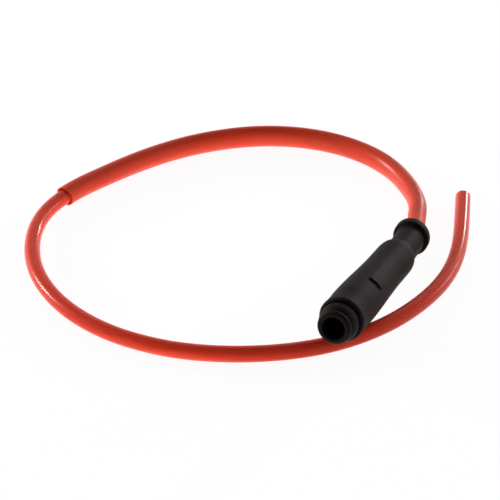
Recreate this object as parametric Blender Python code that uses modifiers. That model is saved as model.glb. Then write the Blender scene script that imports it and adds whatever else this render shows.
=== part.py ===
# Straight spark plug cap with its ignition lead, at real size, in metres, +Z up.
# The cap lies along Y with its nose towards -Y. It rests on its end collar and, near the nose,
# on the lead, which comes round in a loop and passes under it.
# Along the cap, a station is the distance behind the flat end of the nose.

import math

import bmesh
import bpy
import numpy
from mathutils import Matrix, Vector

MM = 0.001

# Clearance between pieces that touch on the real cap, and between the barrel and the lead that
# runs at an angle under it
GAP = 0.3 * MM
CROSSING_CLEARANCE = 0.5 * MM

# Lead, sleeve and the lead's screw
LEAD_RADIUS = 3.5 * MM
SLEEVE_WALL = 0.4 * MM
SLEEVE_EXTRA_HEIGHT = 1.0 * MM
SLEEVE_LIFT = 0.5 * MM
SLEEVE_START = 2.0 * MM
SLEEVE_LENGTH = 254.0 * MM
HEAD_RADIUS = 2.9 * MM
HEAD_THICKNESS = 1.5 * MM
SHANK_RADIUS = 1.5 * MM
SPIKE_RADIUS = 1.1 * MM
SPIKE_LENGTH = 10.0 * MM
SPIKE_PITCH = 1.2 * MM
SPIKE_THREAD_DEPTH = 0.25 * MM

# Brass socket, its clip and the contact disc
SOCKET_BORE_RADIUS = 3.4 * MM
SOCKET_WALL = 1.2 * MM
SOCKET_LENGTH = 15.0 * MM
SOCKET_BASE = 1.5 * MM
SOCKET_INSET = 0.5 * MM
SOCKET_SLOT_WIDTH = 1.2 * MM
SOCKET_SLOT_DEPTH = 4.0 * MM
CLIP_WIRE_RADIUS = 0.45 * MM
CLIP_STATION = 6.2 * MM
CLIP_GROOVE_DEPTH = 0.7 * MM
CLIP_OPENING = math.radians(70)
DISC_THICKNESS = 0.5 * MM
DISC_CLEARANCE = 0.4 * MM

# Resistor, its cups and the contact spring
ROD_RADIUS = 2.2 * MM
ROD_LENGTH = 20.0 * MM
CUP_WALL = 0.4 * MM
CUP_DEPTH = 5.0 * MM
SPRING_LENGTH = 8.5 * MM
SPRING_WIRE_RADIUS = 0.35 * MM
SPRING_TURNS = 5.5

# Insulator tube
TUBE_RADIUS = 6.8 * MM
FRONT_SPIGOT_WALL = 1.2 * MM
FRONT_SPIGOT_LENGTH = 14.5 * MM
REAR_SPIGOT_WALL = 1.0 * MM
REAR_SPIGOT_LENGTH = 12.0 * MM
WEB_THICKNESS = 3.0 * MM
TUBE_SHOULDER = 1.2 * MM

# Front boot that grips the plug
SEAL_DEPTH = 21.0 * MM
MOUTH_RADIUS = 4.95 * MM
MOUTH_DEPTH = 4.2 * MM
MOUTH_ROUND = 0.45 * MM
CHAMBER_RADIUS = 5.5 * MM
NOSE_RADIUS = 7.3 * MM
NOSE_ROUND = 0.85 * MM
NOSE_LENGTH = 2.1 * MM
NOSE_GROOVE = 0.45 * MM
RING_RADIUS = 8.75 * MM
RING_FRONT_RADIUS = 7.8 * MM
RING_REAR_ROUND = 0.9 * MM
RING_LENGTH = 5.3 * MM
SKIRT_WALL = 1.1 * MM

# Rubber cover
COVER_STATION = 9.25 * MM
COVER_FRONT_WALL = 2.0 * MM
COVER_REAR_WALL = 1.6 * MM
COVER_EDGE_ROUND = 0.5 * MM
COVER_LIP_WALL = 0.9 * MM
COVER_LIP_DEPTH = 1.4 * MM
COVER_WAIST = 0.2 * MM
COVER_WAIST_LENGTH = 14.7 * MM
TAPER_STATION = 24.0 * MM
TAPER_LENGTH = 40.0 * MM
SHOULDER_LENGTH = 6.5 * MM
SHOULDER_END_WALL = 0.4 * MM
REAR_LIP_LENGTH = 3.2 * MM

# Raised pad on the cover
PAD_STATION = 33.5 * MM
PAD_LENGTH = 19.0 * MM
PAD_WIDTH = 6.9 * MM
PAD_HEIGHT = 0.8 * MM
PAD_ROOT = 0.5 * MM
PAD_CORNER = 0.9 * MM
PAD_TURN = math.radians(38)

# Rear seal: a neck with an end collar
NECK_WALL = 1.55 * MM
NECK_LENGTH = 17.7 * MM
FLANGE_LENGTH = 2.0 * MM
COLLAR_FLARE = 1.6 * MM
COLLAR_LENGTH = 4.4 * MM
COLLAR_ROUND = 1.5 * MM

# Route of the lead's middle behind the cap, in the row's frame. It heads away from the collar,
# bends left round the far side inside the sleeve, comes back along the near side and under the
# nose, and ends on the right.
ROUTE = [
    (-5.2, 70.5, 6.4),
    (-8.8, 82.2, 5.7),
    (-14.1, 92.1, 5.33),
    (-20.2, 100.4, 5.07),
    (-28.6, 109.6, 4.88),
    (-41.8, 119.3, 4.8),
    (-59.0, 125.8, 4.8),
    (-75.5, 127.3, 4.8),
    (-91.0, 124.8, 4.8),
    (-105.2, 118.8, 4.8),
    (-118.0, 109.7, 4.8),
    (-129.4, 98.2, 4.8),
    (-139.3, 84.4, 4.8),
    (-147.8, 68.8, 4.8),
    (-155.3, 52.4, 4.8),
    (-161.5, 34.8, 4.8),
    (-164.0, 14.9, 4.19),
    (-157.9, -10.0, 3.55),
    (-143.6, -33.6, 3.55),
    (-126.4, -50.1, 3.55),
    (-109.5, -60.2, 3.55),
    (-93.5, -65.8, 3.55),
    (-78.6, -68.0, 3.55),
    (-64.5, -67.8, 3.55),
    (-51.3, -65.4, 3.55),
    (-38.8, -61.3, 3.55),
    (-26.9, -55.6, 3.55),
    (-15.7, -48.4, 3.55),
    (-5.3, -39.3, 3.55),
    (4.0, -27.7, 3.55),
    (11.9, -13.6, 3.55),
    (18.0, 3.7, 3.55),
    (21.6, 24.6, 3.55),
    (20.4, 49.9, 3.55),
    (13.8, 77.8, 3.55),
    (6.5, 102.5, 3.55),
]
LEAD_POINT_SPACING = 12.1 * MM

# Facets round each turned piece
FINE_FACETS = 40
PLAIN_FACETS = 28
SMALL_FACETS = 20
ARC_STEPS = 4

# Radii that follow from the sizes above
lead_bore = LEAD_RADIUS + GAP
socket_radius = SOCKET_BORE_RADIUS + SOCKET_WALL
socket_chamber = socket_radius + GAP
front_spigot = socket_chamber + FRONT_SPIGOT_WALL
skirt_bore = front_spigot + GAP
skirt_radius = skirt_bore + SKIRT_WALL
cup_bore = ROD_RADIUS + GAP
cup_radius = cup_bore + CUP_WALL
resistor_chamber = cup_radius + GAP
rear_spigot = lead_bore + REAR_SPIGOT_WALL
neck_bore = rear_spigot + GAP
neck_radius = neck_bore + NECK_WALL
collar_radius = neck_radius + COLLAR_FLARE
cover_front_bore = skirt_radius + GAP
cover_front_radius = cover_front_bore + COVER_FRONT_WALL
cover_rear_bore = TUBE_RADIUS + GAP
cover_rear_radius = cover_rear_bore + COVER_REAR_WALL
cover_opening = neck_radius + GAP

# Stations that follow from the sizes above
tube_front = SEAL_DEPTH + GAP
socket_front = tube_front + SOCKET_INSET
socket_rear = socket_front + SOCKET_LENGTH
disc_front = socket_rear + GAP
disc_rear = disc_front + DISC_THICKNESS
chamber_front = disc_rear + GAP
rod_front = chamber_front + CUP_WALL + GAP
rod_rear = rod_front + ROD_LENGTH
rear_cup_end = rod_rear + GAP + CUP_WALL
spring_front = rear_cup_end + GAP
spring_rear = spring_front + SPRING_LENGTH
spring_disc_front = spring_rear + GAP
spring_disc_rear = spring_disc_front + DISC_THICKNESS
head_front = spring_disc_rear + GAP
web_front = head_front + HEAD_THICKNESS + GAP
web_rear = web_front + WEB_THICKNESS
lead_start = web_rear + GAP
tube_shoulder = web_rear + TUBE_SHOULDER
tube_rear = tube_shoulder + REAR_SPIGOT_LENGTH
spigot_end = tube_front + FRONT_SPIGOT_LENGTH
skirt_end = spigot_end - GAP
flange_front = tube_shoulder + GAP
flange_rear = flange_front + FLANGE_LENGTH
rear_lip_front = flange_rear + GAP
cover_rear = rear_lip_front + REAR_LIP_LENGTH
collar_front = cover_rear + NECK_LENGTH
collar_rear = collar_front + COLLAR_LENGTH


def clear_scene():
    for thing in list(bpy.data.objects):
        bpy.data.objects.remove(thing, do_unlink=True)


def new_collection(name):
    collection = bpy.data.collections.new(name)
    bpy.context.scene.collection.children.link(collection)
    return collection


def make_material(name, color, roughness, metallic=0.0):
    material = bpy.data.materials.new(name)
    material.use_nodes = True
    shader = material.node_tree.nodes["Principled BSDF"]
    shader.inputs["Base Color"].default_value = (*color, 1.0)
    shader.inputs["Roughness"].default_value = roughness
    shader.inputs["Metallic"].default_value = metallic
    return material


def arc(center, size, start, end, steps=ARC_STEPS):
    """Points on an ellipse round center, both as (radius, station), from start to end degrees."""
    points = []
    for step in range(steps + 1):
        angle = math.radians(start + (end - start) * step / steps)
        radius = center[0] + size[0] * math.cos(angle)
        station = center[1] + size[1] * math.sin(angle)
        points.append((radius, station))
    return points


def ease(value):
    value = min(max(value, 0.0), 1.0)
    return value * value * (3 - 2 * value)


def cover_radius(station):
    """Outer radius of the cover's barrel: full in front, with a faint waist, slim behind."""
    taper = ease((station - TAPER_STATION) / TAPER_LENGTH)
    along = (station - COVER_STATION) / COVER_WAIST_LENGTH
    waist = math.sin(math.pi * along) ** 2 if 0 < along < 1 else 0.0
    return cover_front_radius + (cover_rear_radius - cover_front_radius) * taper - COVER_WAIST * waist


def lathe(name, outline, facets, closed=True):
    """Turns an outline of (radius, station) round the cap's axis. It runs rearmost point first,
    down the outer side to the front, and a closed one comes back along its bore."""
    mesh = bpy.data.meshes.new(name)
    vertices = [(radius, 0.0, station) for radius, station in outline]
    edges = [(index, index + 1) for index in range(len(outline) - 1)]
    if closed:
        edges.append((len(outline) - 1, 0))
    mesh.from_pydata(vertices, edges, [])
    piece = bpy.data.objects.new(name, mesh)
    screw = piece.modifiers.new("turn", "SCREW")
    screw.axis = "Z"
    screw.angle = math.tau
    screw.steps = facets
    screw.render_steps = facets
    screw.use_merge_vertices = True
    screw.merge_threshold = 0.001 * MM
    screw.use_smooth_shade = True
    return piece


def cut(piece, cutter, operation="DIFFERENCE"):
    modifier = piece.modifiers.new(operation.lower(), "BOOLEAN")
    modifier.operation = operation
    modifier.object = cutter
    modifier.solver = "EXACT"


def box(name, size, center):
    mesh = bpy.data.meshes.new(name)
    shape = bmesh.new()
    bmesh.ops.create_cube(shape, size=1.0)
    bmesh.ops.scale(shape, vec=size, verts=shape.verts)
    bmesh.ops.translate(shape, vec=center, verts=shape.verts)
    shape.to_mesh(mesh)
    shape.free()
    return bpy.data.objects.new(name, mesh)


def poly_curve(name, points, bevel_depth=0.0, resolution=2, cyclic=False):
    curve = bpy.data.curves.new(name, "CURVE")
    curve.dimensions = "3D"
    curve.twist_mode = "Z_UP"
    spline = curve.splines.new("POLY")
    spline.points.add(len(points) - 1)
    for spline_point, point in zip(spline.points, points):
        spline_point.co = (*point, 1.0)
    spline.use_cyclic_u = cyclic
    curve.bevel_depth = bevel_depth
    curve.bevel_resolution = resolution
    curve.use_fill_caps = bevel_depth > 0
    return bpy.data.objects.new(name, curve)


def curve_to_mesh(curve_piece, collection):
    """Replaces a curve by a mesh object of the same name, with its caps welded on."""
    collection.objects.link(curve_piece)
    graph = bpy.context.evaluated_depsgraph_get()
    mesh = bpy.data.meshes.new_from_object(curve_piece.evaluated_get(graph))
    shape = bmesh.new()
    shape.from_mesh(mesh)
    bmesh.ops.remove_doubles(shape, verts=shape.verts, dist=0.001 * MM)
    shape.to_mesh(mesh)
    shape.free()
    name = curve_piece.name
    place = curve_piece.matrix_world.copy()
    bpy.data.objects.remove(curve_piece, do_unlink=True)
    piece = bpy.data.objects.new(name, mesh)
    piece.matrix_world = place
    return piece


# Outlines of the turned pieces


def seal_outline():
    ring_rear = NOSE_LENGTH + RING_LENGTH + NOSE_GROOVE
    ring_middle = ring_rear - RING_REAR_ROUND
    bulge = RING_RADIUS - RING_FRONT_RADIUS
    ring_front = NOSE_LENGTH + NOSE_GROOVE
    outline = [(skirt_bore, skirt_end), (skirt_radius, skirt_end), (skirt_radius, ring_rear)]
    rear_center = (RING_RADIUS - RING_REAR_ROUND, ring_middle)
    outline += arc(rear_center, (RING_REAR_ROUND, RING_REAR_ROUND), 70, 0, 3)
    front_center = (RING_FRONT_RADIUS, ring_middle - RING_REAR_ROUND)
    outline += arc(front_center, (bulge, front_center[1] - ring_front), 0, -90, 5)
    outline.append((NOSE_RADIUS - NOSE_GROOVE, ring_front))
    outline.append((NOSE_RADIUS - NOSE_GROOVE, NOSE_LENGTH))
    outline.append((NOSE_RADIUS, NOSE_LENGTH - NOSE_GROOVE / 2))
    nose_center = (NOSE_RADIUS - NOSE_ROUND, NOSE_ROUND)
    outline += arc(nose_center, (NOSE_ROUND, NOSE_ROUND), 0, -90)
    mouth_center = (MOUTH_RADIUS + MOUTH_ROUND, MOUTH_ROUND)
    outline += arc(mouth_center, (MOUTH_ROUND, MOUTH_ROUND), 270, 180, 3)
    outline.append((MOUTH_RADIUS, MOUTH_DEPTH))
    outline.append((CHAMBER_RADIUS, MOUTH_DEPTH + 1.5 * (CHAMBER_RADIUS - MOUTH_RADIUS)))
    outline.append((CHAMBER_RADIUS, SEAL_DEPTH))
    outline.append((skirt_bore, SEAL_DEPTH))
    return outline


def barrel(first, last, steps, offset=0.0):
    """Stations and radii down the cover's barrel, from the rear to the front."""
    points = []
    for step in range(steps + 1):
        station = first + (last - first) * step / steps
        points.append((cover_radius(station) + offset, station))
    return points


def cover_outline():
    shoulder_front = cover_rear - SHOULDER_LENGTH
    end_radius = cover_opening + SHOULDER_END_WALL
    shoulder_drop = cover_rear_radius - end_radius
    edge_rear = COVER_STATION + COVER_EDGE_ROUND
    lip_radius = cover_front_radius - COVER_LIP_WALL
    lip_rear = COVER_STATION + COVER_LIP_DEPTH
    bore_step = spigot_end + GAP
    outline = [(cover_opening, cover_rear)]
    outline += arc((end_radius, shoulder_front), (shoulder_drop, SHOULDER_LENGTH), 90, 0, 6)
    outline += barrel(shoulder_front, edge_rear, 14)[1:]
    edge_center = (cover_front_radius - COVER_EDGE_ROUND, edge_rear)
    outline += arc(edge_center, (COVER_EDGE_ROUND, COVER_EDGE_ROUND), 0, -90, 3)[1:]
    outline.append((lip_radius, COVER_STATION))
    outline.append((lip_radius, lip_rear))
    outline.append((cover_front_bore, lip_rear))
    outline.append((cover_front_bore, bore_step))
    outline.append((cover_rear_bore, bore_step + cover_front_bore - cover_rear_bore))
    outline.append((cover_rear_bore, rear_lip_front))
    outline.append((cover_opening, rear_lip_front))
    return outline


def tube_outline():
    return [
        (lead_bore, tube_rear),
        (rear_spigot, tube_rear),
        (rear_spigot, tube_shoulder),
        (TUBE_RADIUS, tube_shoulder),
        (TUBE_RADIUS, spigot_end + (TUBE_RADIUS - front_spigot)),
        (front_spigot, spigot_end),
        (front_spigot, tube_front),
        (socket_chamber, tube_front),
        (socket_chamber, chamber_front),
        (resistor_chamber, chamber_front),
        (resistor_chamber, web_front),
        (SHANK_RADIUS + GAP, web_front),
        (SHANK_RADIUS + GAP, web_rear),
        (lead_bore, web_rear),
    ]


def lead_seal_outline():
    front_center = (collar_radius - COLLAR_ROUND, collar_front + COLLAR_ROUND)
    rear_center = (collar_radius - COLLAR_ROUND, collar_rear - COLLAR_ROUND)
    size = (COLLAR_ROUND, COLLAR_ROUND)
    outline = [(lead_bore, collar_rear)]
    outline += arc(rear_center, size, 90, 0)
    outline += arc(front_center, size, 0, -90)
    outline.append((neck_radius, collar_front))
    outline.append((neck_radius, flange_rear))
    outline.append((TUBE_RADIUS, flange_rear))
    outline.append((TUBE_RADIUS, flange_front))
    outline.append((neck_bore, flange_front))
    outline.append((neck_bore, tube_rear + GAP))
    outline.append((lead_bore, tube_rear + GAP))
    return outline


def socket_outline():
    clip = socket_front + CLIP_STATION
    half_groove = CLIP_WIRE_RADIUS + GAP
    groove = SOCKET_BORE_RADIUS + CLIP_GROOVE_DEPTH
    return [
        (0.0, socket_rear),
        (socket_radius, socket_rear),
        (socket_radius, socket_front),
        (SOCKET_BORE_RADIUS, socket_front),
        (SOCKET_BORE_RADIUS, clip - half_groove),
        (groove, clip - half_groove),
        (groove, clip + half_groove),
        (SOCKET_BORE_RADIUS, clip + half_groove),
        (SOCKET_BORE_RADIUS, socket_rear - SOCKET_BASE),
        (0.0, socket_rear - SOCKET_BASE),
    ]


def disc_outline(radius, front, rear):
    return [(0.0, rear), (radius, rear), (radius, front), (0.0, front)]


def front_cup_outline():
    cup_mouth = chamber_front + CUP_DEPTH
    return [
        (cup_bore, cup_mouth),
        (cup_radius, cup_mouth),
        (cup_radius, chamber_front),
        (0.0, chamber_front),
        (0.0, chamber_front + CUP_WALL),
        (cup_bore, chamber_front + CUP_WALL),
    ]


def rear_cup_outline():
    cup_mouth = rear_cup_end - CUP_DEPTH
    return [
        (0.0, rear_cup_end),
        (cup_radius, rear_cup_end),
        (cup_radius, cup_mouth),
        (cup_bore, cup_mouth),
        (cup_bore, rear_cup_end - CUP_WALL),
        (0.0, rear_cup_end - CUP_WALL),
    ]


def screw_outline():
    """Head, smooth shank through the web, then a tapered, ridged spike."""
    head_rear = head_front + HEAD_THICKNESS
    ridges = int(SPIKE_LENGTH / SPIKE_PITCH)
    outline = [(0.0, lead_start + SPIKE_LENGTH)]
    for ridge in range(ridges, 0, -1):
        station = lead_start + SPIKE_PITCH * ridge
        core = SPIKE_RADIUS * (1 - (station - lead_start) / SPIKE_LENGTH) ** 0.5
        outline.append((core + SPIKE_THREAD_DEPTH, station - SPIKE_PITCH * 0.2))
        outline.append((core + SPIKE_THREAD_DEPTH * 0.2, station - SPIKE_PITCH * 0.6))
    outline.append((SPIKE_RADIUS, lead_start))
    outline.append((SHANK_RADIUS, lead_start))
    outline.append((SHANK_RADIUS, head_rear))
    outline.append((HEAD_RADIUS, head_rear))
    outline.append((HEAD_RADIUS, head_front))
    outline.append((0.0, head_front))
    return outline


# Where the cap lies


def crossing():
    """How far along, and how high, the route's middle passes under the cap's axis."""
    for (x, y, z), (next_x, next_y, next_z) in zip(ROUTE, ROUTE[1:]):
        if x < 0 <= next_x:
            share = x / (x - next_x)
            return (y + (next_y - y) * share) * MM, (z + (next_z - z) * share) * MM


def settle():
    """The cap's tilt and its nose's place: collar on the floor, barrel just clear of the lead,
    and the cap's box centred on the origin along Y."""
    edge_station = collar_rear - COLLAR_ROUND
    edge_radius = collar_radius - COLLAR_ROUND
    lead_y, lead_z = crossing()
    tilt = 0.0
    nose_y = 0.0
    nose_z = 0.0
    for _ in range(60):
        sine, cosine = math.sin(tilt), math.cos(tilt)
        front_y = -(NOSE_RADIUS - NOSE_ROUND) * sine
        rear_y = collar_rear * cosine + edge_radius * sine
        nose_y = -(front_y + rear_y) / 2
        station = (lead_y - nose_y) / cosine
        height = lead_z + LEAD_RADIUS + CROSSING_CLEARANCE - COLLAR_ROUND
        height += (cover_radius(station) - edge_radius) * cosine
        tilt = math.asin(height / (edge_station - station))
        nose_z = COLLAR_ROUND + edge_radius * cosine + edge_station * sine
    return tilt, Vector((0.0, nose_y, nose_z))


def cap_frame(tilt, nose):
    """An empty at the middle of the nose whose +Z runs back along the cap."""
    empty = bpy.data.objects.new("cap_axis", None)
    empty.location = nose
    empty.rotation_euler = (-(math.pi / 2 + tilt), 0.0, 0.0)
    return empty


# Route of the lead


def smooth_curve(points, start_direction, spacing):
    """Reads a cubic spline through the points every spacing, with its first direction given."""
    points = numpy.array(points)
    steps = numpy.linalg.norm(numpy.diff(points, axis=0), axis=1)
    count = len(points)
    matrix = numpy.zeros((count, count))
    right = numpy.zeros((count, 3))
    slopes = numpy.diff(points, axis=0) / steps[:, None]
    matrix[0, 0] = 2 * steps[0]
    matrix[0, 1] = steps[0]
    right[0] = 6 * (slopes[0] - numpy.array(start_direction))
    for row in range(1, count - 1):
        matrix[row, row - 1] = steps[row - 1]
        matrix[row, row] = 2 * (steps[row - 1] + steps[row])
        matrix[row, row + 1] = steps[row]
        right[row] = 6 * (slopes[row] - slopes[row - 1])
    matrix[-1, -1] = 1.0
    bends = numpy.linalg.solve(matrix, right)
    curve = []
    total = steps.sum()
    readings = max(2, round(total / spacing))
    knots = numpy.concatenate(([0.0], numpy.cumsum(steps)))
    for reading in range(readings + 1):
        place = total * reading / readings
        part = min(int(numpy.searchsorted(knots, place, side="right")) - 1, count - 2)
        step = steps[part]
        ahead = (place - knots[part]) / step
        behind = 1 - ahead
        point = points[part] * behind + points[part + 1] * ahead
        point = point + (behind ** 3 - behind) * step ** 2 / 6 * bends[part]
        point = point + (ahead ** 3 - ahead) * step ** 2 / 6 * bends[part + 1]
        curve.append(Vector(point))
    return curve


def lead_points(tilt, nose):
    """The straight stretch inside the cap, and the free stretch from the collar on."""
    direction = Vector((0.0, math.cos(tilt), -math.sin(tilt)))
    inside = [nose + direction * lead_start, nose + direction * (lead_start + collar_rear) / 2]
    behind = nose + direction * (collar_rear + SLEEVE_START)
    route = [behind] + [Vector(point) * MM for point in ROUTE]
    free = smooth_curve(route, direction, LEAD_POINT_SPACING)
    return inside, free


def sleeve_points(free):
    """The free stretch's points that the sleeve covers, raised so that it rests on the lead."""
    count = round(SLEEVE_LENGTH / (free[1] - free[0]).length) + 1
    return [point + Vector((0.0, 0.0, SLEEVE_LIFT)) for point in free[:count]]


# The pieces


def make_lead(inside, free, collection):
    curve = poly_curve("ignition_lead", inside + free, LEAD_RADIUS, 4)
    lead = curve_to_mesh(curve, collection)
    hole_radius = SPIKE_RADIUS + SPIKE_THREAD_DEPTH + GAP
    hole_depth = SPIKE_LENGTH + GAP
    outline = disc_outline(hole_radius, lead_start - hole_depth, lead_start + hole_depth)
    pilot = lathe("pilot_hole", outline, SMALL_FACETS, closed=False)
    cut(lead, pilot)
    return lead, pilot


def make_sleeve(points, collection, guides):
    half_width = LEAD_RADIUS + GAP + SLEEVE_WALL
    half_height = half_width + SLEEVE_EXTRA_HEIGHT
    oval = []
    for facet in range(16):
        angle = -math.tau * facet / 16
        oval.append((half_width * math.cos(angle), half_height * math.sin(angle), 0.0))
    section = poly_curve("sleeve_section", oval, cyclic=True)
    section.data.dimensions = "2D"
    section.data.fill_mode = "NONE"
    guides.objects.link(section)
    curve = poly_curve("lead_sleeve", points)
    curve.data.bevel_mode = "OBJECT"
    curve.data.bevel_object = section
    sleeve = curve_to_mesh(curve, collection)
    wall = sleeve.modifiers.new("wall", "SOLIDIFY")
    wall.thickness = SLEEVE_WALL
    wall.offset = -1.0
    return sleeve


def make_cover():
    cover = lathe("cap_cover", cover_outline(), FINE_FACETS)
    pad_rear = PAD_STATION + PAD_LENGTH
    margin = PAD_HEIGHT
    upper = barrel(pad_rear + margin, PAD_STATION - margin, 8, PAD_HEIGHT)
    lower = barrel(pad_rear + margin, PAD_STATION - margin, 8, -PAD_ROOT)
    pad = lathe("pad_blank", upper + lower[::-1], 2 * FINE_FACETS)
    reach = cover_front_radius + 2 * PAD_HEIGHT
    middle = PAD_STATION + PAD_LENGTH / 2
    window = box("pad_window", (PAD_WIDTH, reach, PAD_LENGTH), (0.0, -reach / 2 - PAD_ROOT, middle))
    window.rotation_euler = (0.0, 0.0, PAD_TURN)
    corners = window.modifiers.new("corners", "BEVEL")
    corners.width = PAD_CORNER
    corners.segments = 3
    cut(pad, window, "INTERSECT")
    cut(cover, pad, "UNION")
    return cover, [pad, window]


def make_socket():
    socket = lathe("terminal_socket", socket_outline(), PLAIN_FACETS, closed=False)
    depth = SOCKET_SLOT_DEPTH
    size = (SOCKET_SLOT_WIDTH, 3 * socket_radius, 2 * depth)
    slot = box("driver_slot", size, (0.0, 0.0, socket_front))
    cut(socket, slot)
    return socket, slot


def make_clip():
    station = socket_front + CLIP_STATION
    radius = SOCKET_BORE_RADIUS + CLIP_GROOVE_DEPTH - GAP - CLIP_WIRE_RADIUS
    points = []
    for step in range(17):
        angle = CLIP_OPENING / 2 + (math.tau - CLIP_OPENING) * step / 16
        points.append((radius * math.cos(angle), radius * math.sin(angle), station))
    return poly_curve("terminal_clip", points, CLIP_WIRE_RADIUS, 2)


def make_spring():
    radius = cup_radius - GAP - SPRING_WIRE_RADIUS
    first = spring_front + SPRING_WIRE_RADIUS
    last = spring_rear - SPRING_WIRE_RADIUS
    steps = int(SPRING_TURNS * 14)
    points = []
    for step in range(steps + 1):
        angle = math.tau * SPRING_TURNS * step / steps
        station = first + (last - first) * step / steps
        points.append((radius * math.cos(angle), radius * math.sin(angle), station))
    return poly_curve("contact_spring", points, SPRING_WIRE_RADIUS, 2)


def main():
    clear_scene()
    pieces = new_collection("spark_plug_cap")
    guides = new_collection("cutters")
    tilt, nose = settle()
    axis = cap_frame(tilt, nose)
    pieces.objects.link(axis)

    rubber = make_material("black_rubber", (0.025, 0.023, 0.022), 0.6)
    red_silicone = make_material("red_silicone", (0.62, 0.05, 0.02), 0.35)
    red_sleeve = make_material("red_sleeve", (0.7, 0.07, 0.03), 0.3)
    resin = make_material("brown_resin", (0.1, 0.05, 0.03), 0.5)
    brass = make_material("brass", (0.75, 0.55, 0.25), 0.3, 1.0)
    steel = make_material("spring_steel", (0.55, 0.55, 0.57), 0.3, 1.0)
    ceramic = make_material("ceramic", (0.75, 0.7, 0.62), 0.5)

    inside, free = lead_points(tilt, nose)
    lead, pilot = make_lead(inside, free, pieces)
    sleeve = make_sleeve(sleeve_points(free), pieces, guides)
    cover, pad_tools = make_cover()
    socket, slot = make_socket()

    disc_radius = socket_chamber - DISC_CLEARANCE
    spring_disc_radius = cup_radius - GAP / 2
    contact_disc = disc_outline(disc_radius, disc_front, disc_rear)
    rod = disc_outline(ROD_RADIUS, rod_front, rod_rear)
    spring_disc = disc_outline(spring_disc_radius, spring_disc_front, spring_disc_rear)

    on_axis = [
        (cover, rubber),
        (lathe("plug_seal", seal_outline(), FINE_FACETS), rubber),
        (lathe("lead_seal", lead_seal_outline(), FINE_FACETS), rubber),
        (lathe("insulator_tube", tube_outline(), PLAIN_FACETS), resin),
        (socket, brass),
        (make_clip(), steel),
        (lathe("contact_disc", contact_disc, SMALL_FACETS, closed=False), brass),
        (lathe("resistor_front_cup", front_cup_outline(), SMALL_FACETS), steel),
        (lathe("resistor_rod", rod, SMALL_FACETS, closed=False), ceramic),
        (lathe("resistor_rear_cup", rear_cup_outline(), SMALL_FACETS, closed=False), steel),
        (make_spring(), steel),
        (lathe("spring_disc", spring_disc, SMALL_FACETS, closed=False), brass),
        (lathe("lead_screw", screw_outline(), SMALL_FACETS, closed=False), brass),
    ]
    for piece, material in on_axis:
        pieces.objects.link(piece)
        piece.parent = axis
        piece.data.materials.append(material)
    for piece, material in ((lead, red_silicone), (sleeve, red_sleeve)):
        pieces.objects.link(piece)
        piece.data.materials.clear()
        piece.data.materials.append(material)
    for tool in (pilot, slot, *pad_tools):
        guides.objects.link(tool)
        tool.parent = axis
    for tool in guides.objects:
        tool.hide_render = True
        tool.display_type = "WIRE"


main()
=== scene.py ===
import math

import bpy
import numpy
from mathutils import Euler, Matrix, Vector, noise


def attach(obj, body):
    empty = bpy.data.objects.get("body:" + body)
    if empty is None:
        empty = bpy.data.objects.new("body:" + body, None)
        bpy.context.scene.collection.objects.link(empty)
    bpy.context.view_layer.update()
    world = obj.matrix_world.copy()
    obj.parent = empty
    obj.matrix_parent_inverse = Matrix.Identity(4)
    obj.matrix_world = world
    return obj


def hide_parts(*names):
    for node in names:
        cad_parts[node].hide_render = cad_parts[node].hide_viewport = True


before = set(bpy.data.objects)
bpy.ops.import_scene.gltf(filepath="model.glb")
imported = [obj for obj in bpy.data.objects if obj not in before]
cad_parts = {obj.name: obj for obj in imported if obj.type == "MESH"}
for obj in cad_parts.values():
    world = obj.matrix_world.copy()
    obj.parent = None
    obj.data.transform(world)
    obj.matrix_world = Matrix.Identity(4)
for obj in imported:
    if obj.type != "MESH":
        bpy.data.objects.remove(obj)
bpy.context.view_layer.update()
mm = 0.001  # sizes of the pieces are in millimetres, places of the camera and lamps in metres
scene = bpy.context.scene
scene.view_settings.view_transform = "Standard"
print("frame loaded:", len(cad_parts), "nodes")


# Camera, at the photograph's angle

camera = {
    "place": (0.270632, -0.798196, 0.514308),
    "target": (-0.068024, 0.025729, 0.0),
    "lens": 166.25,
    "sensor": 36,
    "clip": (0.05, 20),
}

bpy.ops.object.select_all(action="DESELECT")
bpy.ops.object.camera_add(location=camera["place"])
eye = bpy.context.object
aim = Vector(camera["target"]) - Vector(camera["place"])
eye.rotation_euler = aim.to_track_quat("-Z", "Y").to_euler()
eye.data.lens = camera["lens"]
eye.data.sensor_width = camera["sensor"]
eye.data.clip_start, eye.data.clip_end = camera["clip"]
scene.camera = eye
print("camera set")


# How the cap lies: its nose's middle, its tilt, and its rear end pulled aside and up by the lead

capPlace = {
    "nose": (0.0, -51.267, 19.142),
    "tilt": 6.176,
    "bendStart": 80,
    "bendLength": 23,
    "bend": -0.9,
    "lift": 0.3,
}
tilt = math.radians(capPlace["tilt"])
capMatrix = Matrix.Translation(Vector(capPlace["nose"]) * mm)
capMatrix = capMatrix @ Euler((-(math.pi / 2 + tilt), 0, 0)).to_matrix().to_4x4()


def ease(value):
    value = min(max(value, 0.0), 1.0)
    return value * value * (3 - 2 * value)


def axisShift(station):
    # how far the cap's middle line is off its axis, in metres
    # a station is a distance behind the nose, in millimetres
    share = max((station - capPlace["bendStart"]) / capPlace["bendLength"], 0) ** 2
    return Vector((capPlace["bend"] * share, -capPlace["lift"] * share, 0)) * mm


def onAxis(station):
    # a point of the cap's middle line
    return capMatrix @ (axisShift(station) + Vector((0, 0, station * mm)))


# Lead: stations inside the cap, then the points of its route, which the part's source has too

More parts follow.
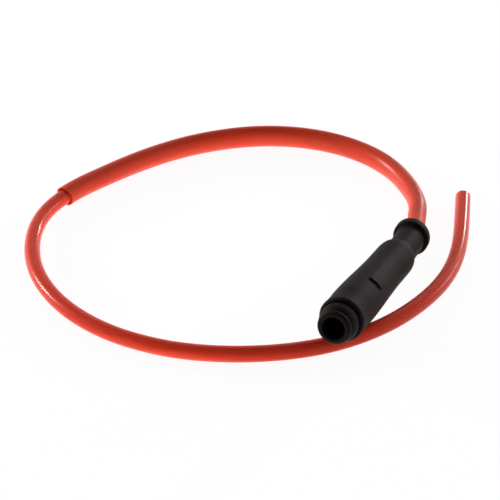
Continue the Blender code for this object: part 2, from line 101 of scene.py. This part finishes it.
lead = {
    "radius": 3.5,
    "sides": 32,
    "inside": (90, 96.5, 103.1, 105.1),
    "route": [
        (-5.2, 70.5, 6.4), (-8.8, 82.2, 5.7), (-14.1, 92.1, 5.33), (-20.2, 100.4, 5.07),
        (-28.6, 109.6, 4.88), (-41.8, 119.3, 4.8), (-59.0, 125.8, 4.8), (-75.5, 127.3, 4.8),
        (-91.0, 124.8, 4.8), (-105.2, 118.8, 4.8), (-118.0, 109.7, 4.8), (-129.4, 98.2, 4.8),
        (-139.3, 84.4, 4.8), (-147.8, 68.8, 4.8), (-155.3, 52.4, 4.8), (-161.5, 34.8, 4.8),
        (-164.0, 14.9, 4.19), (-157.9, -10.0, 3.55), (-143.6, -33.6, 3.55), (-126.4, -50.1, 3.55),
        (-109.5, -60.2, 3.55), (-93.5, -65.8, 3.55), (-78.6, -68.0, 3.55), (-64.5, -67.8, 3.55),
        (-51.3, -65.4, 3.55), (-38.8, -61.3, 3.55), (-26.9, -55.6, 3.55), (-15.7, -48.4, 3.55),
        (-5.3, -39.3, 3.55), (4.0, -27.7, 3.55), (11.9, -13.6, 3.55), (18.0, 3.7, 3.55),
        (21.6, 24.6, 3.55), (20.4, 49.9, 3.55), (13.8, 77.8, 3.55), (6.5, 102.5, 3.55),
    ],
    "spacing": 1.5,
    # inset and rise of each ring of the cut end, which bulges as silicone does behind a cutter
    "cutEnd": [(0.001, 0), (0.315, 0), (0.3, 0.064), (0.25, 0.024), (0.5, 0.012)],
    "length": 0.645,  # in metres
}


def smoothLine(points, spacing):
    # a natural cubic spline through the points, read at even steps
    points = numpy.array(points)
    steps = numpy.linalg.norm(numpy.diff(points, axis=0), axis=1)
    count = len(points)
    matrix = numpy.eye(count)
    sums = numpy.zeros((count, 3))
    slopes = numpy.diff(points, axis=0) / steps[:, None]
    for row in range(1, count - 1):
        before, after = steps[row - 1], steps[row]
        matrix[row, row - 1:row + 2] = before, 2 * (before + after), after
        sums[row] = 6 * (slopes[row] - slopes[row - 1])
    bends = numpy.linalg.solve(matrix, sums)
    knots = numpy.concatenate(([0.0], numpy.cumsum(steps)))
    line = []
    for place in numpy.linspace(0, knots[-1], round(knots[-1] / spacing) + 1):
        part = min(int(numpy.searchsorted(knots, place, side="right")) - 1, count - 2)
        step = steps[part]
        ahead = (place - knots[part]) / step
        behind = 1 - ahead
        point = points[part] * behind + points[part + 1] * ahead
        point = point + (behind ** 3 - behind) * step ** 2 / 6 * bends[part]
        point = point + (ahead ** 3 - ahead) * step ** 2 / 6 * bends[part + 1]
        line.append(Vector(point) * mm)
    return line


def only(piece):
    # makes this the one selected and active object
    bpy.ops.object.select_all(action="DESELECT")
    piece.select_set(True)
    bpy.context.view_layer.objects.active = piece


def tube(name, line, radius, sides):
    # an open mesh tube along the line, whose rings come one after the other
    curve = bpy.data.curves.new(name, "CURVE")
    curve.dimensions = "3D"
    curve.twist_mode = "Z_UP"
    spline = curve.splines.new("POLY")
    spline.points.add(len(line) - 1)
    for point, place in zip(spline.points, line):
        point.co = (*place, 1)
    curve.bevel_depth = radius * mm
    curve.bevel_resolution = (sides - 4) // 2
    piece = bpy.data.objects.new(name, curve)
    scene.collection.objects.link(piece)
    only(piece)
    bpy.ops.object.convert(target="MESH")
    return bpy.context.object


def smooth(piece, angle):
    only(piece)
    bpy.ops.object.shade_smooth_by_angle(angle=math.radians(angle))


def facesWhere(piece, test):
    # back in edit mode with only the faces that pass the test selected
    bpy.ops.object.mode_set(mode="EDIT")
    bpy.ops.mesh.select_all(action="DESELECT")
    bpy.ops.mesh.select_mode(type="FACE")
    bpy.ops.object.mode_set(mode="OBJECT")
    for face in piece.data.polygons:
        face.select = test(face)
    bpy.ops.object.mode_set(mode="EDIT")


insidePoints = [tuple(onAxis(station) / mm) for station in lead["inside"]]
leadLine = smoothLine(insidePoints + lead["route"], lead["spacing"])
leadEnd = leadLine[-1]
leadEndDirection = (leadLine[-1] - leadLine[-2]).normalized()


def isCutEnd(face):
    return len(face.vertices) > 4 and (face.center - leadEnd).length < mm


leadPiece = tube("lead", leadLine, lead["radius"], lead["sides"])
bpy.ops.object.mode_set(mode="EDIT")
bpy.ops.mesh.select_all(action="DESELECT")
bpy.ops.mesh.select_mode(type="EDGE")
bpy.ops.mesh.select_non_manifold()
bpy.ops.mesh.edge_face_add()  # both open ends get a face
bpy.ops.object.mode_set(mode="OBJECT")
facesWhere(leadPiece, isCutEnd)
for inset, rise in lead["cutEnd"]:
    bpy.ops.mesh.inset(thickness=inset * mm, depth=rise * mm)
bpy.ops.object.mode_set(mode="OBJECT")
smooth(leadPiece, angle=35)
leadLength = sum((after - before).length for before, after in zip(leadLine, leadLine[1:]))
print("lead modelled,", round(leadLength, 4), "m")


# Core in the lead's cut end

coreSpot = {
    "radius": 1.1,
    "sides": 24,
    "length": 0.45,
    "sunk": 0.3,
    "edgeInset": 0.3,
    "edgeRise": 0.08,
}

bpy.ops.object.select_all(action="DESELECT")
bpy.ops.mesh.primitive_circle_add(
    vertices=coreSpot["sides"], radius=coreSpot["radius"] * mm, fill_type="NGON"
)
corePiece = bpy.context.object
corePiece.name = "lead_core"
bpy.ops.object.mode_set(mode="EDIT")
bpy.ops.mesh.select_all(action="SELECT")
bpy.ops.mesh.extrude_region_move(
    TRANSFORM_OT_translate={"value": (0, 0, coreSpot["length"] * mm)}
)
bpy.ops.mesh.inset(thickness=coreSpot["edgeInset"] * mm, depth=coreSpot["edgeRise"] * mm)
bpy.ops.mesh.select_all(action="SELECT")
bpy.ops.mesh.normals_make_consistent(inside=False)
bpy.ops.object.mode_set(mode="OBJECT")
corePlace = leadEnd - leadEndDirection * coreSpot["sunk"] * mm
coreTurn = leadEndDirection.to_track_quat("Z", "Y").to_matrix().to_4x4()
corePiece.data.transform(Matrix.Translation(corePlace) @ coreTurn)
smooth(corePiece, angle=40)
print("core modelled")


# Sleeve: hugs the lead at the collar, then stands high round the far side, and is oval at its end

sleeve = {
    "start": 15.5,
    "length": 253.4,
    "wall": 0.6,
    "radius": 4.2,
    "sides": 32,
    # along, half width, half height, rise of its middle over the lead's
    "sections": [
        (0, 4.1, 4.1, 0.0), (14, 4.12, 4.15, 0.02), (30, 4.15, 4.5, 0.3),
        (52, 4.15, 4.95, 0.45), (80, 4.15, 5.15, 0.48), (150, 4.2, 5.2, 0.48),
        (205, 4.3, 5.05, 0.4), (235, 4.45, 4.85, 0.15), (254, 4.65, 4.75, 0.05),
    ],
    "ripple": 0.05,
    "rippleTurns": 0.03,
    "askew": 0.5,  # how far the cut of its far end is out of square
    # matt where it is pushed up to the collar, fading from the inner to the outer distance
    "rubbed": {"station": 103, "inner": 16, "outer": 40, "roughness": 0.2},
}


def sectionAt(place):
    sections = sleeve["sections"]
    for first, second in zip(sections, sections[1:]):
        if place <= second[0]:
            share = ease((place - first[0]) / (second[0] - first[0]))
            return [a + (b - a) * share for a, b in zip(first[1:], second[1:])]
    return sections[-1][1:]


def shapeSleeve(piece, line):
    # sets each ring's width, height and lift
    last = len(line) - 1
    sides = sleeve["sides"]
    for ring, middle in enumerate(line):
        forward = (line[min(ring + 1, last)] - line[max(ring - 1, 0)]).normalized()
        across = forward.cross(Vector((0, 0, 1))).normalized()
        up = across.cross(forward)
        place = sleeve["length"] * ring / last
        halfWidth, halfHeight, lift = sectionAt(place)
        for vertex in piece.data.vertices[ring * sides:(ring + 1) * sides]:
            offset = vertex.co - middle
            angle = math.atan2(offset.dot(up), offset.dot(across))
            turns = Vector((place * sleeve["rippleTurns"], math.cos(angle), math.sin(angle)))
            ripple = sleeve["ripple"] * noise.noise(turns)
            vertex.co = middle + Vector((0, 0, lift * mm))
            vertex.co += across * math.cos(angle) * (halfWidth + ripple) * mm
            vertex.co += up * math.sin(angle) * (halfHeight + ripple) * mm
            if ring == last:
                vertex.co += forward * sleeve["askew"] * math.sin(angle) * mm


sleeveFirst = round(sleeve["start"] / lead["spacing"])
sleeveCount = round(sleeve["length"] / lead["spacing"])
sleeveLine = leadLine[sleeveFirst:sleeveFirst + sleeveCount + 1]
sleevePiece = tube("sleeve", sleeveLine, sleeve["radius"], sleeve["sides"])
shapeSleeve(sleevePiece, sleeveLine)
only(sleevePiece)
bpy.ops.object.mode_set(mode="EDIT")
bpy.ops.mesh.select_all(action="SELECT")
bpy.ops.mesh.normals_make_consistent(inside=False)
bpy.ops.object.mode_set(mode="OBJECT")
wall = sleevePiece.modifiers.new("wall", "SOLIDIFY")
wall.thickness = sleeve["wall"] * mm
wall.offset = -1
bpy.ops.object.modifier_apply(modifier="wall")
smooth(sleevePiece, angle=50)
print("sleeve modelled")


# Turned rubber pieces

def arc(middle, size, start, end, steps=8):
    # (radius, station) points on an ellipse, from start to end degrees
    points = []
    for step in range(steps + 1):
        angle = math.radians(start + (end - start) * step / steps)
        point = (middle[0] + size[0] * math.cos(angle), middle[1] + size[1] * math.sin(angle))
        points.append(point)
    return points


def turned(name, outline, facets):
    # a ring is extruded from point to point of the outline, and the last one meets the first
    bpy.ops.object.select_all(action="DESELECT")
    bpy.ops.mesh.primitive_circle_add(vertices=facets, radius=outline[0][0] * mm)
    piece = bpy.context.object
    piece.name = name
    bpy.ops.object.mode_set(mode="EDIT")
    bpy.ops.mesh.select_mode(type="VERT")
    bpy.ops.mesh.select_all(action="SELECT")
    bpy.ops.transform.translate(value=(0, 0, outline[0][1] * mm))
    for (radius, station), (nextRadius, nextStation) in zip(outline, outline[1:] + outline[:1]):
        bpy.ops.mesh.extrude_region_move(
            TRANSFORM_OT_translate={"value": (0, 0, (nextStation - station) * mm)}
        )
        size = nextRadius / radius
        bpy.ops.transform.resize(value=(size, size, 1))
    bpy.ops.mesh.select_all(action="SELECT")
    bpy.ops.mesh.remove_doubles(threshold=0.0005 * mm)
    bpy.ops.mesh.normals_make_consistent(inside=False)
    bpy.ops.object.mode_set(mode="OBJECT")
    return piece


def placeOnCap(piece):
    # bends the rear end aside and up, then lays the piece on the cap's axis
    for vertex in piece.data.vertices:
        vertex.co += axisShift(vertex.co.z / mm)
    piece.data.transform(capMatrix)
    piece.data.update()


# Cover, with its raised pad

cover = {
    "facets": 224,
    "front": 8.75,
    "rear": 81.0,
    "frontRadius": 9.8,
    "rearRadius": 8.7,
    "frontEdge": (1.1, 1.8),
    # radius, and station behind the front
    "lip": [(8.35, 0.1), (8.25, 0.35)],
    "frontBore": 7.8,
    "frontBoreEnd": 36.1,
    "rearBore": 7.1,
    "rearBoreStart": 36.8,
    "rearBoreEnd": 77.8,
    "opening": 6.95,
    "openingRim": 0.4,
    "taperStart": 24,
    "taperLength": 40,
    "waist": 0.2,
    "waistLength": 14.7,
    "shoulder": 6.5,
    "barrelFront": 10,
    "outerSkin": 8.3,  # all that is further out belongs to the outside
    # spacing of the rings behind the pad, along it, and in front of it
    "rings": (1.2, 0.25, 0.9),
    "pad": {
        "start": 33.5,
        "length": 19,
        "width": 6.9,
        "height": 0.8,
        "corner": 1.0,
        "edge": 0.55,
        "turn": 38,
        "margin": 1,  # how far the close rings go past it
    },
}


def coverRadius(station):
    share = ease((station - cover["taperStart"]) / cover["taperLength"])
    along = (station - cover["front"]) / cover["waistLength"]
    waist = math.sin(math.pi * along) ** 2 if 0 < along < 1 else 0
    radius = cover["frontRadius"] + (cover["rearRadius"] - cover["frontRadius"]) * share
    return radius - cover["waist"] * waist


def padRise(angle, station, radius):
    # how far the pad stands out at an angle round the barrel, with round corners and edges
    pad = cover["pad"]
    turn = (angle - math.radians(pad["turn"]) + math.pi) % math.tau - math.pi
    out = abs(radius * turn) - (pad["width"] / 2 - pad["corner"])
    on = abs(station - pad["start"] - pad["length"] / 2) - (pad["length"] / 2 - pad["corner"])
    distance = math.hypot(max(out, 0), max(on, 0)) + min(max(out, on), 0) - pad["corner"]
    return pad["height"] * ease(0.5 - distance / pad["edge"])


def barrelStations():
    # from the shoulder to the front edge, close together along the pad
    pad = cover["pad"]
    shoulderFront = cover["rear"] - cover["shoulder"]
    padStart = pad["start"] - pad["margin"]
    padEnd = padStart + pad["length"] + 2 * pad["margin"]
    behind, along, before = cover["rings"]
    stations = []
    for step in range(1, int((shoulderFront - padEnd) / behind)):
        stations.append(shoulderFront - step * behind)
    for step in range(int((padEnd - padStart) / along) + 1):
        stations.append(padEnd - step * along)
    for step in range(1, int((padStart - cover["barrelFront"]) / before)):
        stations.append(padStart - step * before)
    return stations


def coverOutline():
    front = cover["front"]
    shoulderFront = cover["rear"] - cover["shoulder"]
    endRadius = cover["opening"] + cover["openingRim"]
    drop = coverRadius(shoulderFront) - endRadius
    edge = cover["frontEdge"]
    outline = [(cover["opening"], cover["rear"])]
    outline += arc((endRadius, shoulderFront), (drop, cover["shoulder"]), 90, 0, 18)
    outline += [(coverRadius(station), station) for station in barrelStations()]
    outline += arc((coverRadius(front) - edge[0], front + edge[1]), edge, 0, -86, 10)
    outline += [(radius, front + behind) for radius, behind in cover["lip"]]
    outline += [(cover["frontBore"], outline[-1][1]), (cover["frontBore"], cover["frontBoreEnd"])]
    outline += [(cover["rearBore"], cover["rearBoreStart"])]
    outline += [(cover["rearBore"], cover["rearBoreEnd"]), (cover["opening"], cover["rearBoreEnd"])]
    return outline


coverPiece = turned("cover", coverOutline(), cover["facets"])
for vertex in coverPiece.data.vertices:
    radius = math.hypot(vertex.co.x, vertex.co.y)
    if radius > cover["outerSkin"] * mm:
        rise = padRise(math.atan2(vertex.co.x, -vertex.co.y), vertex.co.z / mm, radius / mm)
        vertex.co.xy *= 1 + rise * mm / radius
placeOnCap(coverPiece)
smooth(coverPiece, angle=50)
print("cover modelled")


# Front boot: nose, shoulder ring and the plug's mouth

boot = {
    "facets": 128,
    "mouth": 4.85,
    "mouthRound": 0.6,
    "mouthEnd": 4.2,
    "chamber": 5.5,
    "chamberFront": 5.03,
    "chamberRear": 20.9,
    "tubeBore": 6.4,
    "tubeFront": 21.0,
    "rear": 35.5,
    "nose": 7.35,
    "noseRound": 1.7,
    "noseLength": 2.5,
    "groove": 0.3,
    # share of the groove's depth, and distance behind the nose's end
    "grooveEdge": [(1, 0.1), (0.5, -0.12), (0, -0.4)],
    "ring": 8.4,
    "ringEdge": (0.6, 1.2),
    "ringEnd": 8.35,
    # radius and station of the slope between the nose and the ring
    "slope": [(8.33, 5.6), (8.2, 5.0), (8.0, 4.3), (7.75, 3.7), (7.45, 3.15), (7.2, 2.8)],
    "skirt": 7.5,
    "skirtFront": 9.0,
    "gapFloor": 8.2,
    "gapFront": 8.5,
    "gapRear": 8.95,
}


def bootOutline():
    skirt, floorRadius, ringEdge = boot["skirt"], boot["gapFloor"], boot["ringEdge"]
    nose, noseEnd, corner = boot["nose"], boot["noseLength"], boot["noseRound"]
    rim = boot["mouthRound"]
    outline = [(boot["tubeBore"], boot["rear"]), (skirt, boot["rear"]), (skirt, boot["skirtFront"])]
    outline += [(floorRadius, boot["gapRear"]), (floorRadius, boot["gapFront"])]
    outline += arc((boot["ring"] - ringEdge[0], boot["ringEnd"] - ringEdge[1]), ringEdge, 82, 0)
    outline += boot["slope"]
    for share, behind in boot["grooveEdge"]:
        outline.append((nose - boot["groove"] * share, noseEnd + behind))
    outline += arc((nose - corner, corner), (corner, corner), 0, -90)
    outline += arc((boot["mouth"] + rim, rim), (rim, rim), 270, 180, 6)
    outline += [(boot["mouth"], boot["mouthEnd"]), (boot["chamber"], boot["chamberFront"])]
    outline += [(boot["chamber"], boot["chamberRear"]), (boot["tubeBore"], boot["tubeFront"])]
    return outline


bootPiece = turned("front_boot", bootOutline(), boot["facets"])
placeOnCap(bootPiece)
smooth(bootPiece, angle=45)


# Rear seal: neck and end collar

neck = {
    "facets": 112,
    "radius": 6.65,
    "bore": 3.8,
    "boreEdge": 0.3,
    "collar": 8.25,
    "collarFront": 99.5,
    "collarRear": 104.7,
    "collarRound": 1.35,
    "fillet": 0.35,
    # station of the last ring of the neck, spacing and count
    "rings": (97, 1.6, 12),
    "flange": 6.8,
    "flangeFront": 75.5,
    "flangeRear": 77.5,
    "tubeBore": 5.1,
    "tubeEnd": 87.5,
}


def neckOutline():
    rear, corner, fillet = neck["collarRear"], neck["collarRound"], neck["fillet"]
    edge = neck["collar"] - corner
    last, spacing, count = neck["rings"]
    outline = [(neck["bore"], rear - neck["boreEdge"]), (neck["bore"] + neck["boreEdge"], rear)]
    outline += arc((edge, rear - corner), (corner, corner), 90, 0)
    outline += arc((edge, neck["collarFront"] + corner), (corner, corner), 0, -80)
    middle = (neck["radius"] + fillet, neck["collarFront"] - fillet)
    outline += arc(middle, (fillet, fillet), 90, 180, 4)
    outline += [(neck["radius"], last - step * spacing) for step in range(count)]
    outline += [(neck["radius"], neck["flangeRear"]), (neck["flange"], neck["flangeRear"])]
    outline += [(neck["flange"], neck["flangeFront"]), (neck["tubeBore"], neck["flangeFront"])]
    outline += [(neck["tubeBore"], neck["tubeEnd"]), (neck["bore"], neck["tubeEnd"])]
    return outline


neckPiece = turned("rear_seal", neckOutline(), neck["facets"])
placeOnCap(neckPiece)
smooth(neckPiece, angle=45)
print("rubber pieces modelled")


# Materials

class Number:
    # wraps a socket, so that shader maths reads as arithmetic
    def __init__(self, nodes, socket):
        self.nodes = nodes
        self.socket = socket

    def math(self, operation, first, second):
        return self.nodes.add("ShaderNodeMath", {"operation": operation}, {0: first, 1: second})

    def __add__(self, other):
        return self.math("ADD", self, other)

    def __radd__(self, other):
        return self.math("ADD", other, self)

    def __sub__(self, other):
        return self.math("SUBTRACT", self, other)

    def __rsub__(self, other):
        return self.math("SUBTRACT", other, self)

    def __mul__(self, other):
        return self.math("MULTIPLY", self, other)

    def __rmul__(self, other):
        return self.math("MULTIPLY", other, self)

    def larger(self, other):
        return self.math("MAXIMUM", self, other)


class Nodes:
    # a node tree under construction, with the node that its values end in
    def __init__(self, tree, shader):
        self.tree = tree
        self.shader = tree.nodes[shader]

    def set(self, name, value):
        socket = self.shader.inputs[name]
        if isinstance(value, Number):
            self.tree.links.new(value.socket, socket)
        else:
            socket.default_value = value

    def add(self, kind, settings=None, values=None, output=0):
        node = self.tree.nodes.new(kind)
        for name, value in (settings or {}).items():
            setattr(node, name, value)
        for name, value in (values or {}).items():
            if isinstance(value, Number):
                self.tree.links.new(value.socket, node.inputs[name])
            else:
                node.inputs[name].default_value = value
        return Number(self, node.outputs[output])

    def fade(self, value, start, end, first, last):
        # goes smoothly from the first number to the last as the value goes from start to end
        values = {"Value": value, "From Min": start, "From Max": end, "To Min": first, "To Max": last}
        return self.add("ShaderNodeMapRange", {"interpolation_type": "SMOOTHSTEP"}, values)

    def vector(self, operation, first, second):
        values = {0: first, 1: tuple(second)}
        return self.add("ShaderNodeVectorMath", {"operation": operation}, values, output="Value")


class Look(Nodes):
    # a material on the Principled shader
    def __init__(self, name, roughness=0.5, metallic=0.0, ior=1.5, specular=0.5):
        self.material = bpy.data.materials.new(name)
        self.material.use_nodes = True
        super().__init__(self.material.node_tree, "Principled BSDF")
        self.set("Roughness", roughness)
        self.set("Metallic", metallic)
        self.set("IOR", ior)
        self.set("Specular IOR Level", specular)

    def place(self):
        return self.add("ShaderNodeTexCoord", output="Object")

    def speckle(self, scale, detail=2.0, roughness=0.5):
        values = {"Vector": self.place(), "Scale": scale, "Detail": detail, "Roughness": roughness}
        return self.add("ShaderNodeTexNoise", {}, values)

    def mix(self, factor, first, second):
        values = {0: factor, 6: (*first, 1), 7: (*second, 1)}
        return self.add("ShaderNodeMix", {"data_type": "RGBA"}, values, output=2)

    def near(self, point, inner, outer):
        # 1 within the inner distance of a point, 0 beyond the outer one
        return self.fade(self.vector("DISTANCE", self.place(), point), inner, outer, 1.0, 0.0)

    def bump(self, height, distance):
        values = {"Height": height, "Distance": distance}
        self.set("Normal", self.add("ShaderNodeBump", {}, values))


def rubberLook(name, dark, light):
    look = Look(name, ior=1.47, specular=0.08)
    cloud = look.speckle(scale=90, detail=3)
    grain = look.speckle(scale=2600, roughness=0.6)
    pores = look.speckle(scale=900, detail=3, roughness=0.6)
    look.set("Base Color", look.mix(cloud * 0.7 + pores * 0.3, dark, light))
    look.set("Roughness", 0.5 + cloud * 0.14 + grain * 0.06)
    look.bump(grain * 0.35 + pores * 0.65, distance=0.05 * mm)
    return look.material


def siliconeLook(name, deep, bright, roughness, rubbed=None):
    look = Look(name, ior=1.42, specular=0.2)
    cloud = look.speckle(scale=28)
    drift = look.speckle(scale=240)
    rough = roughness + drift * 0.06
    if rubbed:
        middle = onAxis(rubbed["station"])
        matt = look.near(middle, rubbed["inner"] * mm, rubbed["outer"] * mm)
        rough = rough + matt * rubbed["roughness"]
    look.set("Base Color", look.mix(cloud * 0.75 + drift * 0.25, deep, bright))
    look.set("Roughness", rough)
    look.set("Subsurface Weight", 0.4)
    look.set("Subsurface Radius", (1.0, 0.16, 0.08))
    look.set("Subsurface Scale", 3 * mm)
    look.bump(drift * 0.2 + cloud * 0.8, distance=0.01 * mm)
    return look.material


def metalLook(name, first, second, roughness):
    look = Look(name, metallic=1.0)
    values = {"Vector": look.place(), "Rotation": (tilt, 0, 0), "Scale": (60, 1200, 60)}
    along = look.add("ShaderNodeMapping", {}, values)
    lines = look.add("ShaderNodeTexNoise", {}, {"Vector": along, "Scale": 1.0, "Detail": 2.0})
    stain = look.speckle(scale=300, detail=3)
    look.set("Base Color", look.mix(stain * 0.7 + lines * 0.3, first, second))
    look.set("Roughness", roughness + lines * 0.18)
    look.bump(lines, distance=0.01 * mm)
    return look.material


def mouldedLook(name, first, second, roughness):
    look = Look(name)
    cloud = look.speckle(scale=160, detail=4, roughness=0.6)
    grain = look.speckle(scale=1800)
    look.set("Base Color", look.mix(cloud * 0.6 + grain * 0.4, first, second))
    look.set("Roughness", roughness + grain * 0.12)
    look.bump(grain, distance=0.02 * mm)
    return look.material


rubber = rubberLook("black_rubber", (0.004, 0.0024, 0.0019), (0.0175, 0.0114, 0.0094))
redLead = siliconeLook("red_lead_silicone", (0.82, 0.054, 0.021), (0.92, 0.07, 0.028), roughness=0.2)
redSleeve = siliconeLook(
    "red_sleeve_silicone",
    (0.84, 0.056, 0.022),
    (0.93, 0.074, 0.031),
    roughness=0.26,
    rubbed=sleeve["rubbed"],
)
brass = metalLook("turned_brass", (0.6, 0.4, 0.16), (0.82, 0.62, 0.3), roughness=0.24)
steel = metalLook("drawn_steel", (0.42, 0.42, 0.44), (0.62, 0.62, 0.64), roughness=0.28)
resin = mouldedLook("moulded_resin", (0.07, 0.034, 0.02), (0.13, 0.066, 0.04), roughness=0.42)
ceramic = mouldedLook("fired_ceramic", (0.66, 0.6, 0.52), (0.84, 0.79, 0.7), roughness=0.5)
core = mouldedLook("core_strands", (0.02, 0.015, 0.013), (0.09, 0.05, 0.035), roughness=0.5)


def dress(piece, material):
    piece.data.materials.clear()
    piece.data.materials.append(material)


inside = {
    "insulator_tube": resin,
    "terminal_socket": brass,
    "terminal_clip": steel,
    "contact_disc": brass,
    "resistor_front_cup": steel,
    "resistor_rod": ceramic,
    "resistor_rear_cup": steel,
    "contact_spring": steel,
    "spring_disc": brass,
    "lead_screw": brass,
}
for node, material in inside.items():
    dress(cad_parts[node], material)

outside = [
    (coverPiece, rubber, "black_rubber", ["cap_cover"]),
    (bootPiece, rubber, "black_rubber", ["plug_seal"]),
    (neckPiece, rubber, "black_rubber", ["lead_seal"]),
    (leadPiece, redLead, "red_silicone", ["ignition_lead"]),
    (sleevePiece, redSleeve, "red_sleeve", ["lead_sleeve"]),
    (corePiece, core, "red_silicone", []),
]
for piece, material, slotName, nodes in outside:
    dress(piece, material)
    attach(piece, "root")
    if nodes:
        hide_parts(*nodes)
onAxis(neck["collarRear"])
print("materials set")


# Floor, world and lamps

studio = {
    "floorSize": 8,
    "floorGlow": 0.86,
    "floorWhite": 1.09,
    "floorRoughness": 0.9,
    "paper": [(0.86, 0.86, 0.86), (0.9, 0.9, 0.9)],
    "horizon": 1.0,
    "zenith": 0.4,
    "skyFade": (0.02, 0.5),  # the heights between which it goes from horizon to zenith
    "shade": 0.12,  # how bright the dark room behind the camera is
    "shadeAzimuth": 158,
    "shadeElevation": 48,
    "shadeFade": (0.35, 0.85),  # the cosines between which the dark room begins
    "aim": (-0.06, 0.03, 0.0),
    "distance": 2.0,
    # the lamps' name, azimuth from +Y towards +X, elevation, width and height, brightness
    "lamps": [
        ("back_strip", 10, 13, (0.14, 0.3), 60.0),
        ("back_panel", -8, 40, (2.0, 0.8), 0.6),
        ("back_right_panel", 38, 14, (0.8, 0.45), 6.0),
        ("left_strip", -86, 13, (0.45, 0.36), 40.0),
    ],
    # place, width and depth, brightness of the light table
    "table": [(-0.54, -0.05, -0.06), (1.0, 1.2), 4.2],
}


def wayTo(azimuth, elevation):
    turn = math.radians(azimuth)
    rise = math.radians(elevation)
    level = math.cos(rise)
    return Vector((math.sin(turn) * level, math.cos(turn) * level, math.sin(rise)))


bpy.ops.object.select_all(action="DESELECT")
bpy.ops.mesh.primitive_plane_add(size=studio["floorSize"])
floor = bpy.context.object
floor.name = "floor"
floor.visible_shadow = False  # the light table shines through it

paper = Look("white_paper", roughness=studio["floorRoughness"])
paper.set("Base Color", paper.mix(paper.speckle(scale=500), *studio["paper"]))
glow = paper.add("ShaderNodeEmission", {}, {"Strength": studio["floorWhite"]})
seen = paper.add("ShaderNodeLightPath", output="Is Camera Ray")
seen = seen.larger(paper.add("ShaderNodeLightPath", output="Is Glossy Ray"))
seen = seen.larger(paper.add("ShaderNodeLightPath", output="Is Transmission Ray"))
lit = Number(paper, paper.shader.outputs[0])
surface = paper.add("ShaderNodeMixShader", {}, {0: seen * studio["floorGlow"], 1: lit, 2: glow})
paper.tree.links.new(surface.socket, paper.tree.nodes["Material Output"].inputs["Surface"])
dress(floor, paper.material)

world = bpy.data.worlds.new("studio")
scene.world = world
world.use_nodes = True
sky = Nodes(world.node_tree, "Background")
direction = sky.add("ShaderNodeTexCoord", output="Generated")
upward = sky.add("ShaderNodeSeparateXYZ", {}, {0: direction}, output="Z")
light = sky.fade(upward, *studio["skyFade"], studio["horizon"], studio["zenith"])
shadeWay = wayTo(studio["shadeAzimuth"], studio["shadeElevation"])
towards = sky.vector("DOT_PRODUCT", direction, shadeWay)
shade = sky.fade(towards, *studio["shadeFade"], 1.0, studio["shade"])
cameraRay = sky.add("ShaderNodeLightPath", output="Is Camera Ray")
sky.set("Strength", light * shade * (1 - cameraRay) + cameraRay)
sky.set("Color", (1, 1, 1, 1))


def addLamp(name, place, rotation, size, brightness):
    bpy.ops.object.select_all(action="DESELECT")
    bpy.ops.object.light_add(type="AREA", location=place, rotation=rotation)
    lamp = bpy.context.object
    lamp.name = name
    lamp.data.shape = "RECTANGLE"
    lamp.data.size, lamp.data.size_y = size
    lamp.data.energy = brightness * math.pi * size[0] * size[1]


for name, azimuth, elevation, size, brightness in studio["lamps"]:
    way = wayTo(azimuth, elevation)
    rotation = (-way).to_track_quat("-Z", "Y").to_euler()
    addLamp(name, Vector(studio["aim"]) + way * studio["distance"], rotation, size, brightness)
tablePlace, tableSize, tableBrightness = studio["table"]
addLamp("light_table", tablePlace, (math.pi, 0, 0), tableSize, tableBrightness)
print("studio lit")
